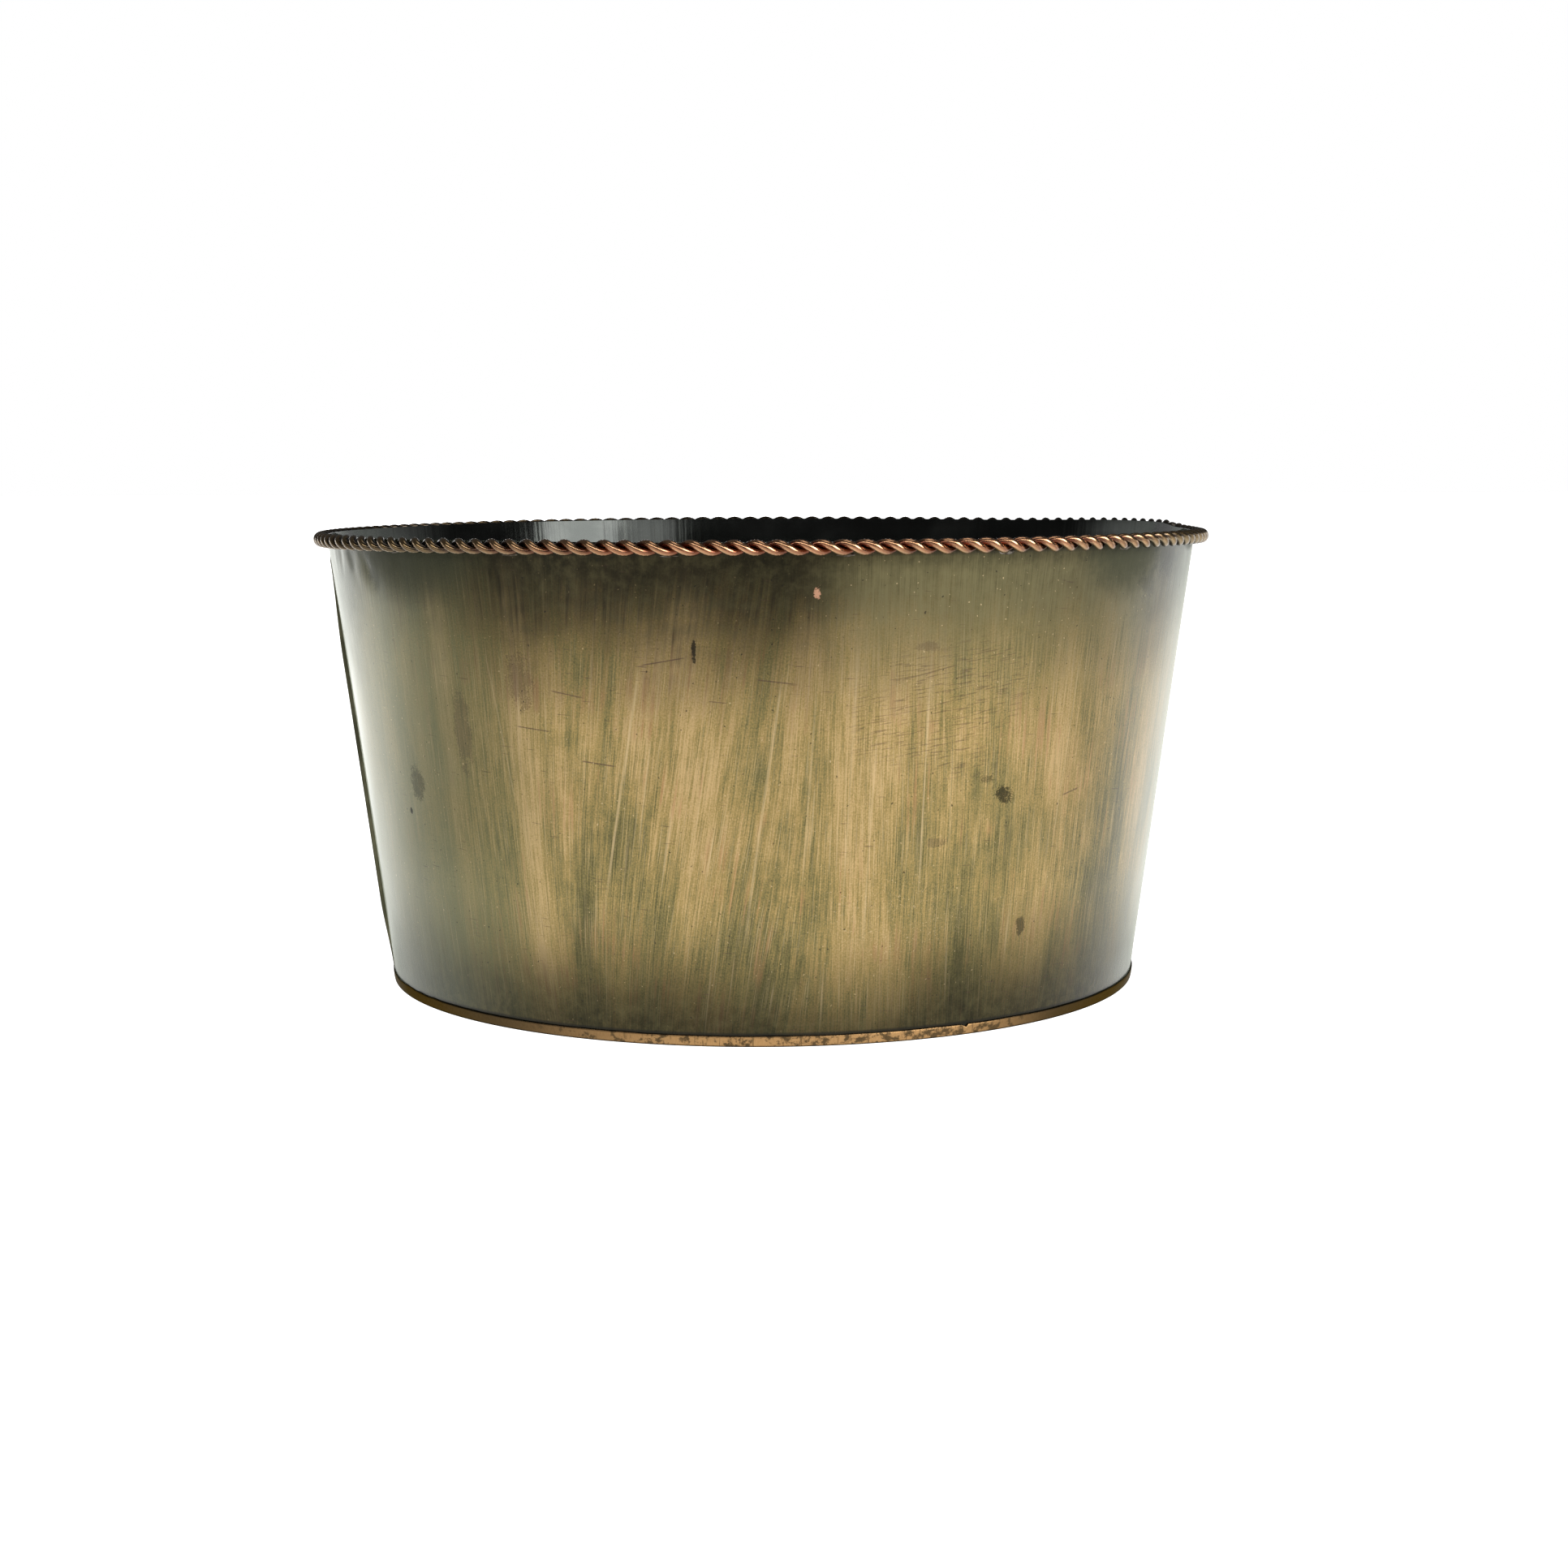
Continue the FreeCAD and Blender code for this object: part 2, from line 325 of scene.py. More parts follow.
sheetRadius = 138.0                          # of the wall at half its height, in mm
degreeWide = math.pi / 180 * sheetRadius     # mm along the wall to a degree


def sheetPlace(tree):
    # azimuth in degrees, arc and height in mm, cut where the sheet's edges are folded together
    place = tree.node("TexCoord", output="Object")
    back = (0, 0, math.pi - pot["seamAzimuth"])
    turned = tree.node("Mapping", sockets={"Vector": place, "Rotation": back})
    x, y, z = tree.parts(turned)
    around = y.math("ARCTAN2", x)
    azimuth = around * (180 / math.pi) + (math.degrees(pot["seamAzimuth"]) - 180)
    return azimuth, around * sheetRadius, z * (1 / mm)


brass = {
    "tones": [(0.10, (0.110, 0.096, 0.034)), (0.36, (0.230, 0.190, 0.067)),
              (0.60, (0.405, 0.285, 0.098)), (0.90, (0.620, 0.430, 0.195))],
    "greenish": (0.225, 0.232, 0.112),
    "pale": (0.70, 0.52, 0.28),
    "coppery": (0.46, 0.235, 0.105),
    "olive": (0.165, 0.145, 0.066),
    "patina": (0.0110, 0.0105, 0.0060),
    "greyPatina": (0.040, 0.045, 0.028),
    "purple": (0.085, 0.045, 0.036),
    # dark soot for smudges, pits, runs and drips, also used as painted shade in creases, along the pan
    # band's edges and in a dent
    "sootAndShade": (0.016, 0.015, 0.012),
    "chip": (0.85, 0.45, 0.28),
    # broad upright bands, rubbed more or less: azimuth in degrees, half width in mm, amount
    "bands": ((-133.0, 7, 0.22), (-120.3, 7, 0.25), (-113.6, 6, -0.12), (-98.0, 12, 0.14),
              (-89.6, 6, -0.05), (-77.0, 14, 0.20), (-61.0, 10, -0.09), (-49.0, 8, 0.12),
              (-130.0, 10, -0.06), (-35.0, 17, -0.20), (60.0, 22, 0.12), (100.0, 18, -0.12),
              (140.0, 20, 0.14)),
    # marks: azimuth in degrees, height in mm, half width and half height in mm, strength
    # the smudge at -147 degrees and 143 mm is painted shade in the main dent
    "smudgesAndDentShade": ((-57.3, 75.2, 3.4, 3.2, 0.75), (-60.2, 81.0, 2.6, 1.6, 0.45),
                (-141.8, 75.5, 4.2, 6.0, 0.5), (-97.5, 120.8, 0.7, 4.0, 0.85),
                (-52.4, 33.0, 2.2, 3.2, 0.6), (-144.6, 66.0, 0.9, 1.0, 0.9),
                (-147.0, 143.0, 3.0, 5.0, 0.5), (-27.0, 146.0, 12.0, 7.0, 0.6),
                (-16.5, 147.0, 5.0, 2.2, 0.5), (-33.0, 138.0, 6.0, 6.0, 0.35),
                (-13.5, 144.6, 1.2, 0.8, 0.7), (84.0, 96.0, 3.6, 2.6, 0.6),
                (128.0, 52.0, 2.4, 3.0, 0.5)),
    "stains": ((-69.5, 122.0, 5.0, 1.7, 0.3), (-67.0, 62.0, 4.0, 1.8, 0.3),
               (-120.3, 110.8, 5.0, 9.0, 0.35), (-130.5, 94.5, 4.0, 14.0, 0.3),
               (20.0, 80.0, 9.0, 7.0, 0.3)),
    "hatchAt": (-66, 103, 34, 26, 0.42),
    "scuffAt": (-72, 42, 30, 16, 0.6),
    "chipAt": (-83.2, 138.2, 1.2, 1.7, 0.75),
    # thick dull tarnish under the rim; the marks at -145.5 and -153 degrees are painted shade in dents
    "tarnishAndDentShade": ((-138.0, 151.0, 40.0, 22.0, 0.9), (-145.5, 144.0, 6.5, 11.0, 0.85),
                (-153.0, 147.0, 5.0, 7.0, 0.5), (-38.5, 151.0, 28.0, 21.0, 0.9),
                (-16.0, 149.5, 12.0, 3.4, 0.7), (118.0, 151.0, 36.0, 18.0, 0.7)),
    "tarnishAndShadeColour": (0.052, 0.054, 0.031),
    # rubbed lines: azimuth and height of both ends, half width in mm, strength
    "strokes": ((-69.1, 126, -69.0, 42, 0.42, 0.75), (-104.0, 117, -110.5, 42, 0.62, 0.7),
                (-103.0, 96, -105.5, 60, 0.35, 0.6), (-87.0, 116, -92.2, 28, 0.6, 0.6),
                (-83.0, 112, -84.5, 50, 0.42, 0.5), (-46.4, 118, -48.0, 52, 0.48, 0.5),
                (-125.2, 120, -122.5, 70, 0.4, 0.5), (-120.3, 118, -121.5, 84, 0.5, 0.45),
                (-78.2, 122, -79.4, 30, 0.38, 0.55), (-75.5, 100, -76.5, 24, 0.45, 0.5),
                (30.0, 120, 27.0, 50, 0.5, 0.6), (75.0, 112, 78.0, 36, 0.5, 0.6),
                (118.0, 118, 114.0, 60, 0.5, 0.6)),
    # thin dark runs
    "veins": ((-25.6, 148, -26.4, 108, 0.28, 0.55), (-20.6, 131, -20.9, 122, 0.55, 0.6),
              (-134.6, 149, -134.9, 128, 0.3, 0.4), (151.0, 146, 150.0, 110, 0.35, 0.5)),
    # dark level scratches
    "scratches": ((-104.2, 116.8, -98.2, 119.5, 0.25, 0.7),
                  (-116.0, 108.6, -111.2, 106.6, 0.3, 0.6), (-121.5, 97.2, -116.0, 96.0, 0.28, 0.6),
                  (-112.5, 87.6, -107.4, 86.2, 0.3, 0.7), (-90.4, 113.0, -85.2, 111.4, 0.28, 0.6),
                  (-47.0, 73.2, -43.5, 75.0, 0.35, 0.6), (-96.0, 106.5, -93.5, 105.9, 0.24, 0.5),
                  (-73.0, 112.0, -65.0, 116.5, 0.26, 0.5), (40.0, 90.0, 46.0, 93.0, 0.3, 0.6),
                  (95.0, 70.0, 101.0, 67.0, 0.3, 0.6)),
}


def spot(azimuth, height, mark, ragged, firm=0.35):
    # soft round mark, at full strength in the firm part of its middle
    around, high, wide, tall, strength = mark
    across = (azimuth - around) * (degreeWide / wide)
    up = (height - high) * (1 / tall)
    reach = across * across + up * up + ragged
    return (1 - reach.fade(firm, 1.0)) * strength


def stripe(azimuth, height, line, isLevel):
    # soft line from one end to the other, drawn along the longer of its two ways
    firstAround, firstHigh, lastAround, lastHigh, half, strength = line
    if isLevel:
        along = (azimuth - firstAround) * (1 / (lastAround - firstAround))
        aside = height - (along * (lastHigh - firstHigh) + firstHigh)
    else:
        along = (height - firstHigh) * (1 / (lastHigh - firstHigh))
        aside = (azimuth - (along * (lastAround - firstAround) + firstAround)) * degreeWide
    within = along.fade(0.0, 0.12) - along.fade(0.8, 1.0)
    return (1 - aside.math("ABSOLUTE").fade(half * 0.3, half)) * within * strength


def makeRubbedBrass():
    tree = newFinish("rubbedBrass")
    azimuth, arc, height = sheetPlace(tree)
    # strokes lean a little, most of all left of the middle
    drift = tree.noise(tree.vector(arc * 0.014, height * 0.006, 3.0), detail=1.0)
    lean = (drift - 0.5) * 0.16 + 0.13 * (azimuth.fade(-122, -108) - azimuth.fade(-92, -78))
    across = arc - lean * (height - 76.0)
    hair = tree.noise(tree.vector(across * 2.3, height * 0.055, 0.0), detail=3.0, roughness=0.65)
    streak = tree.noise(tree.vector(across * 0.70, height * 0.024, 7.0), detail=2.0, roughness=0.55)
    patch = tree.noise(tree.vector(across * 0.085, height * 0.020, 11.0), detail=2.0, roughness=0.5)
    cloud = tree.noise(tree.vector(arc * 0.035, height * 0.04, 31.0), detail=3.0, roughness=0.6)
    grain = tree.noise(tree.vector(arc * 1.7, height * 1.7, 5.0), detail=3.0, roughness=0.7)
    blotch = tree.noise(tree.vector(arc * 0.28, height * 0.24, 17.0), detail=4.0, roughness=0.65)

    fromSeam = 180 - (azimuth + (180 - math.degrees(pot["seamAzimuth"]))).math("ABSOLUTE")
    left = 1 - fromSeam.fade(25, 49)
    lively = 1 - left * 0.7
    brushed = (streak - 0.5) * 0.60 + (hair - 0.5) * 1.30
    value = (patch - 0.5) * 0.85 + (cloud - 0.5) * 0.35 + brushed * lively
    value = value + (grain - 0.5) * 0.90 + (blotch - 0.5) * 0.38 - left * 0.14
    value = value + (height.fade(24, 104) - 0.62) * 0.17
    for middle, half, amount in brass["bands"]:
        aside = (azimuth - middle).math("ABSOLUTE") * degreeWide + (blotch - 0.5) * 5.0
        value = value + aside.fade(half * 0.2, half, amount, 0.0)
    tone = tree.node("ValToRGB", {"stops": brass["tones"]}, {"Fac": value + 0.53})
    copperAt = streak.fade(0.52, 0.68) * cloud.fade(0.48, 0.60)
    tone = tree.mix(copperAt * 0.5, tone, brass["coppery"])
    tone = tree.mix((1 - fromSeam.fade(33, 59)) * (0.35 + cloud * 0.6), tone, brass["greenish"])
    rubbed = tree.noise(tree.vector(across * 1.1, height * 0.022, 27.0), detail=1.0).fade(0.64, 0.76)
    tone = tree.mix(rubbed * 0.40 * lively, tone, brass["pale"])
    hairlines = tree.noise(tree.vector(across * 4.4, height * 0.040, 93.0), detail=1.0)
    tone = tree.mix(hairlines.fade(0.60, 0.72) * 0.50 * lively, tone, brass["pale"])
    tone = tree.mix((1 - hairlines.fade(0.28, 0.40)) * 0.50 * lively, tone, brass["olive"])
    for line in brass["strokes"]:
        worn = stripe(azimuth, height, line, isLevel=False) * (hair * 2.0 - 0.35)
        tone = tree.mix(worn.math("MINIMUM", 1.0).math("MAXIMUM", 0.0), tone, brass["pale"])

    # dark bands that the rubbing left at the top and at the foot
    ragged = (streak - 0.5) * 24.0 + (hair - 0.5) * 20.0 + (cloud - 0.5) * 24.0 + (blotch - 0.5) * 20.0
    lighter = (azimuth.fade(-86, -76) - azimuth.fade(-38, -26)) * (1 - height.fade(143, 150) * 0.6)
    lighter = lighter * (blotch * 0.8 + (hair - 0.5) * 1.2 + (streak - 0.5) * 0.8 + 0.55)
    spared = (azimuth.fade(-158, -146) - azimuth.fade(-133, -119)) * 16.0
    alwaysDark = (height + ragged * 0.3).fade(132.0, 149.0)
    top = (height + ragged - spared).fade(92.0, 144.0).math("MAXIMUM", alwaysDark)
    lower = azimuth.fade(-98, -88) * 6.0 - azimuth.fade(-76, -64) * 7.0
    foot = 1 - (height - ragged * 0.55 + lower).fade(4.0, 46.0)
    dark = tree.mix(left, brass["patina"], brass["greyPatina"])
    dark = tree.mix((1 - grain * 0.5) * blotch.fade(0.35, 0.75) * 0.35, dark, brass["olive"])
    tone = tree.mix(top * 0.97, tone, tree.mix((lighter * 0.9).math("MINIMUM", 1.0), dark, brass["olive"]))
    tone = tree.mix(foot * 0.90, tone, dark)
    veil = (top * (1 - lighter * 0.8) + foot).math("MINIMUM", 1.0)

    # fine scratches: short level ones, a hatch at the right, and single ones
    level = height + arc * 0.06
    dash = tree.noise(tree.vector(arc * 0.13, level * 2.1, 41.0), detail=1.0).fade(0.68, 0.75)
    here = tree.noise(tree.vector(arc * 0.045, height * 0.05, 43.0), detail=1.0).fade(0.48, 0.60)
    sloped = height - arc * 0.14
    hatch = tree.noise(tree.vector(arc * 0.15, sloped * 2.1, 47.0), detail=1.0).fade(0.55, 0.66)
    hatch = hatch * spot(azimuth, height, brass["hatchAt"], (cloud - 0.5) * 2.0)
    scratch = (dash * here * 0.55 + hatch).math("MINIMUM", 1.0)
    rough = (grain - 0.5) * 2.4 + (blotch - 0.5) * 3.4
    for line in brass["scratches"]:
        scratch = scratch.math("MAXIMUM", stripe(azimuth, height, line, isLevel=True))
    for mark in brass["stains"]:
        scratch = scratch.math("MAXIMUM", spot(azimuth, height, mark, rough))
    tone = tree.mix(scratch, tone, brass["purple"])
    dull = veil * 0.6
    # dark smudges, and painted shade in the main dent
    for mark in brass["smudgesAndDentShade"]:
        smudgeAndShade = spot(azimuth, height, mark, rough)
        tone = tree.mix(smudgeAndShade, tone, brass["sootAndShade"])
        dull = dull.math("MAXIMUM", smudgeAndShade)
    pits = tree.noise(tree.vector(arc * 0.8, height * 0.7, 71.0), detail=1.0).fade(0.735, 0.775)
    specks = tree.noise(tree.vector(arc * 1.0, height * 0.9, 73.0), detail=1.0).fade(0.735, 0.775)
    scuff = tree.noise(tree.vector(arc * 0.9, height * 1.1, 67.0), detail=2.0, warp=2.0).fade(0.63, 0.70)
    scuff = scuff * spot(azimuth, height, brass["scuffAt"], rough * 0.5)
    tone = tree.mix(pits * 0.7, tone, brass["sootAndShade"])
    specks = specks * (1 - veil * 0.85) * 0.7
    tone = tree.mix((specks + scuff).math("MINIMUM", 1.0), tone, brass["pale"])
    for line in brass["veins"]:
        tone = tree.mix(stripe(azimuth, height, line, isLevel=False), tone, brass["sootAndShade"])
    tone = tree.mix(spot(azimuth, height, brass["chipAt"], rough * 1.2), tone, brass["chip"])
    # painted shade: darker in the gap just above the pan's rim and in the crease under the rope
    edge = (1 - height.fade(3.9, 4.8)).math("MAXIMUM", height.fade(148.6, 149.8) * 0.6)
    tone = tree.mix(edge * 0.8, tone, brass["sootAndShade"])

    lacquer = 0.95 - (azimuth.fade(-152, -124) - azimuth.fade(-48, -24)) * 0.6
    gloss = 0.34 + (cloud - 0.5) * 0.2 + (hair - 0.5) * 0.12 - veil * 0.04
    relief = hair * 0.6 + grain * 0.5 + streak * 0.4 + blotch * 1.2 - scratch * 0.5
    bump = tree.node("Bump", sockets={"Strength": 0.16, "Distance": 0.3 * mm, "Height": relief})
    # dull tarnish, and painted shade in two dents under the rope
    tarnishAndDentShade = 0.0
    for mark in brass["tarnishAndDentShade"]:
        tarnishAndDentShade = spot(azimuth, height, mark, rough * 0.08, firm=0.0).math("MAXIMUM", tarnishAndDentShade)
    surfaceOf(tree, **{
        "Base Color": tone, "Metallic": 1.0, "Roughness": gloss, "Normal": bump,
        "Coat Weight": lacquer * (1 - dull), "Coat Roughness": 0.12,
        "Sheen Weight": 0.6, "Sheen Roughness": 0.30, "Sheen Tint": (0.84, 0.95, 0.72)})
    return coverWith(tree, tarnishAndDentShade, **{
        "Base Color": brass["tarnishAndShadeColour"], "Roughness": 0.5, "Specular IOR Level": 0.06, "Normal": bump})


# the fold's dark colours, also painted as shade on the wall just beside the fold
foldAndShade = {
    "dark": (0.105, 0.104, 0.060),
    "light": (0.205, 0.198, 0.120),
    "roughness": 0.5,
}


def makeFoldAndShadeBrass():
    tree = newFinish("foldedBrassAndShade")
    arc, height = sheetPlace(tree)[1:]
    cloud = tree.noise(tree.vector(arc * 0.5, height * 0.09, 81.0), detail=3.0)
    tone = tree.mix(cloud.fade(0.35, 0.7), foldAndShade["dark"], foldAndShade["light"])
    return surfaceOf(tree, **{"Base Color": tone, "Metallic": 1.0, "Roughness": foldAndShade["roughness"]})


def makePanLacquer(name, dark, light):
    tree = newFinish(name)
    place = tree.node("TexCoord", output="Object")
    cloud = tree.noise(place, scale=22.0, detail=4.0, roughness=0.6)
    fine = tree.noise(place, scale=340.0, detail=3.0, roughness=0.6)
    tone = tree.mix((cloud + (fine - 0.5) * 0.3).fade(0.38, 0.66), dark, light)
    bump = tree.node("Bump", sockets={"Strength": 0.2, "Distance": 0.4 * mm, "Height": cloud + fine * 0.1})
    return surfaceOf(tree, **{"Base Color": tone, "Metallic": 1.0, "Roughness": 0.30 + cloud * 0.2,
                              "Normal": bump, "Coat Weight": 0.4, "Coat Roughness": 0.2})


inside = {
    "black": (0.030, 0.033, 0.030),
    "grey": (0.052, 0.056, 0.051),
    "shine": (0.30, 0.32, 0.30),
}


def makeInsideLacquer():
    tree = newFinish("insideLacquer")
    arc, height = sheetPlace(tree)[1:]
    cloud = tree.noise(tree.vector(arc * 0.05, height * 0.05, 2.0), detail=4.0, roughness=0.6)
    streak = tree.noise(tree.vector(arc * 0.30, height * 0.010, 4.0), detail=2.0)
    fine = tree.noise(tree.vector(arc * 1.5, height * 0.3, 6.0), detail=3.0, roughness=0.6)
    tone = tree.mix(cloud.fade(0.35, 0.7), inside["black"], inside["grey"])
    drips = tree.noise(tree.vector(arc * 0.5, height * 0.02, 8.0), detail=1.0).fade(0.62, 0.72)
    tone = tree.mix(drips * 0.5, tone, brass["sootAndShade"])
    relief = streak + fine * 0.08
    bump = tree.node("Bump", sockets={"Strength": 0.22, "Distance": 0.8 * mm, "Height": relief})
    return surfaceOf(tree, **{"Base Color": tone, "Metallic": 1.0, "Roughness": 0.12 + cloud * 0.10,
                              "Specular Tint": inside["shine"], "Normal": bump,
                              "Coat Weight": 0.35, "Coat Roughness": 0.06})


band = {
    "copper": ((0.36, 0.200, 0.075), (0.60, 0.360, 0.160)),
    "brown": ((0.020, 0.016, 0.009), (0.080, 0.058, 0.030)),
    "shine": (0.45, 0.42, 0.34),
}


def makeBandCopper():
    tree = newFinish("bandCopper")
    azimuth, arc, height = sheetPlace(tree)
    patch = tree.noise(tree.vector(arc * 0.22, height * 0.30, 51.0), detail=4.0, roughness=0.65)
    fine = tree.noise(tree.vector(arc * 1.6, height * 0.7, 53.0), detail=3.0, roughness=0.65)
    rubbed = azimuth.fade(-132, -94) - azimuth.fade(-66, -42)
    copper = tree.mix(fine, *band["copper"])
    brown = tree.mix(fine, *band["brown"])
    stain = (patch + (fine - 0.5) * 0.25).fade(0.47, 0.60) * 0.85
    smear = tree.noise(tree.vector(arc * 0.9, height * 0.12, 57.0), detail=2.0).fade(0.58, 0.68) * 0.6
    stain = stain.math("MAXIMUM", (1 - rubbed) * 0.92).math("MAXIMUM", smear)
    # painted shade: dark along the band's foot where it meets the floor and along its top where it meets
    # the wall
    bandEdgeShade = (1 - height.fade(0.15, 0.75)).math("MAXIMUM", height.fade(3.0, 3.35) * 0.6)
    tone = tree.mix(stain, copper, brown)
    tone = tree.mix(bandEdgeShade * 0.92, tone, brass["sootAndShade"])
    bump = tree.node("Bump", sockets={"Strength": 0.3, "Distance": 0.3 * mm, "Height": patch + fine * 0.5})
    return surfaceOf(tree, **{"Base Color": tone, "Metallic": 1.0, "Roughness": fine * 0.2 + 0.30,
                              "Specular Tint": band["shine"], "Normal": bump})


wire = {
    "bronze": ((0.190, 0.120, 0.050), (0.480, 0.330, 0.155)),
    "copper": ((0.520, 0.210, 0.080), (0.920, 0.540, 0.300)),
    # dark of the grooves between strands, also used as painted shade along each strand's middle
    "grooveAndShade": (0.038, 0.026, 0.014),
    "redGrooveAndShade": (0.200, 0.055, 0.022),
    # painted reflection of the bright floor on the strands' lower edges
    "paintedReflection": (0.780, 0.600, 0.340),
}


def makeWireCopper():
    tree = newFinish("wireCopper")
    azimuth, arc, height = sheetPlace(tree)
    crown, outside, upper, tilt = (tree.node("Attribute", {"attribute_name": name}, output="Fac")
                                   for name in ("crown", "outside", "upper", "tilt"))
    patch = tree.noise(tree.vector(arc * 0.11, height * 0.25, 61.0), detail=3.0, roughness=0.6)
    fine = tree.noise(tree.vector(arc * 1.6, height * 1.6, 63.0), detail=3.0, roughness=0.7)
    red = (azimuth.fade(-136, -96) - azimuth.fade(-58, -26)) * (patch * 1.6 + 0.1)
    red = red.math("MINIMUM", 1.0)
    rubbed = tree.mix(red, tree.mix(fine, *wire["bronze"]), tree.mix(fine, *wire["copper"]))
    grooveAndShade = tree.mix(red, wire["grooveAndShade"], wire["redGrooveAndShade"])
    wear = (crown + (fine - 0.5) * 0.30 + (patch - 0.5) * 0.3 + (red - 1.0) * 0.04).fade(0.60, 0.84)
    wear = wear * outside * (0.25 + upper * 0.75)
    tone = tree.mix(wear, grooveAndShade, rubbed)
    # painted shade along the middle of every strand, where it faces the dark room, and a painted reflection
    # of the bright floor along its lower edge
    middle = (tilt + (fine - 0.5) * 0.2).fade(-0.48, -0.25) - tilt.fade(0.06, 0.18)
    tone = tree.mix(middle * (0.38 + red * 0.22), tone, grooveAndShade)
    tone = tree.mix((1 - tilt.fade(-0.72, -0.46)) * outside * 0.30, tone, wire["paintedReflection"])
    bump = tree.node("Bump", sockets={"Strength": 0.12, "Distance": 0.2 * mm, "Height": fine})
    return surfaceOf(tree, **{"Base Color": tone, "Metallic": 1.0, "Roughness": 0.15 + fine * 0.06,
                              "Normal": bump, "Coat Weight": 0.5, "Coat Roughness": 0.04})


solder = {
    "dark": (0.075, 0.060, 0.042),
    "light": (0.26, 0.23, 0.19),
}


def makeDullSolder():
    tree = newFinish("dullSolder")
    place = tree.node("TexCoord", output="Object")
    cloud = tree.noise(place, scale=420.0, detail=4.0, roughness=0.6)
    tone = tree.mix(cloud.fade(0.35, 0.7), solder["dark"], solder["light"])
    bump = tree.node("Bump", sockets={"Strength": 0.4, "Distance": 0.3 * mm, "Height": cloud})
    return surfaceOf(tree, **{"Base Color": tone, "Metallic": 1.0, "Roughness": 0.6 - cloud * 0.3,
                              "Normal": bump})


underneath = {
    "dark": (0.060, 0.048, 0.026),
    "light": (0.200, 0.155, 0.075),
}

finishes = {
    "brass": makeRubbedBrass(),
    "inside": makeInsideLacquer(),
    "foldAndShade": makeFoldAndShadeBrass(),
    "panInside": makePanLacquer("panInside", inside["black"], inside["grey"]),
    "panUnder": makePanLacquer("panUnder", underneath["dark"], underneath["light"]),
    "band": makeBandCopper(),
    "wire": makeWireCopper(),
    "solder": makeDullSolder(),
}
print("finishes made")


def finishPiece(mesh, name, materials, nodes):
    data = bpy.data.meshes.new(name)
    mesh.to_mesh(data)
    mesh.free()
    for material in materials:
        data.materials.append(material)
    obj = bpy.data.objects.new(name, data)
    bpy.context.scene.collection.objects.link(obj)
    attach(obj, "root")
    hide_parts(*nodes)
    print(name, "made:", len(data.polygons), "faces")


mergeWithin = 0.002 * mm


def closeSkin(mesh):
    bmesh.ops.remove_doubles(mesh, verts=mesh.verts, dist=mergeWithin)
    bmesh.ops.recalc_face_normals(mesh, faces=mesh.faces)


def smoothAll(mesh, sharpAngle=math.radians(40)):
    for face in mesh.faces:
        face.smooth = True
    for edge in mesh.edges:
        edge.smooth = len(edge.link_faces) < 2 or edge.calc_face_angle() < sharpAngle


def addLine(mesh, points, closed=False):
    verts = [mesh.verts.new(point) for point in points]
    ends = verts[1:] + verts[:1] if closed else verts[1:]
    return [mesh.edges.new((here, there)) for here, there in zip(verts, ends)]


def turnVerts(mesh, geom, degrees):
    verts = [item for item in geom if isinstance(item, bmesh.types.BMVert)]
    turn = Matrix.Rotation(math.radians(degrees), 3, "Z")
    bmesh.ops.rotate(mesh, verts=verts, cent=(0, 0, 0), matrix=turn)


def sweep(mesh, profile, start, degrees, steps, unit=10):
    # spins the profile a few steps, and then copies that piece on round the pot;
    # steps is a whole number of units
    known = len(mesh.faces)
    first = bmesh.ops.duplicate(mesh, geom=profile)["geom"]
    turnVerts(mesh, first, start)
    bmesh.ops.spin(mesh, geom=first, cent=(0, 0, 0), axis=(0, 0, 1),
                   angle=math.radians(degrees * unit / steps), steps=unit, use_merge=False)
    mesh.faces.ensure_lookup_table()
    piece = mesh.faces[known:]
    for index in range(1, steps // unit):
        copy = bmesh.ops.duplicate(mesh, geom=piece)["geom"]
        turnVerts(mesh, copy, degrees * unit / steps * index)


wall = {
    "rows": 84,
    "crown": 0.08 * mm,      # how far the lip's middle stands up
    "seamHalf": 3.0 * mm,
    "seamSide": 0.45 * mm,
    "foldAndShadeHalf": 4.0 * mm,  # half width of the folded strip's own finish, 1 mm wider than the fold on each side, which paints shade on the wall beside the step
    "seamProud": 1.35 * mm,
    "seamFlat": 0.3 * mm,
    "seamEnds": (4.5 * mm, 28 * mm, 112 * mm, 145.6 * mm),    # heights where it rises and sinks
    # from where past the seam, how far round, both in degrees, and steps: the part that is dented
    # under the rope, the rest, and the seam
    "sweeps": ((0, 40, 120), (40, 316, 250), (356, 4, 30)),
    "sway": 0.22 * mm,       # long waves of the sheet, between the pan's rim and the rope
    "freeAbove": (3 * mm, 16 * mm),
    "heldAbove": (149.5 * mm, 152 * mm),
    # dents pressed in under the rope: azimuth and height of the middle, lean in degrees a mm,
    # half width and half height in mm, depth in mm
    "dents": ((212.4, 143.4, -0.30, 5.0, 5.0, 0.95), (206.8, 148.0, -0.20, 3.2, 6.0, 0.42),
              (210.2, 148.0, -0.20, 2.6, 6.0, -0.26), (202.4, 149.0, 0.0, 2.4, 5.0, 0.32),
              (199.2, 149.0, 0.0, 2.4, 5.0, -0.20), (221.0, 147.0, 0.0, 4.4, 6.0, 0.16),
              (251.0, 149.0, 0.0, 4.0, 6.0, 0.12), (309.0, 147.0, 0.1, 5.0, 8.0, 0.16),
              (331.0, 147.0, 0.0, 6.0, 7.0, 0.25), (343.0, 148.0, 0.0, 4.0, 5.0, 0.25)),
}


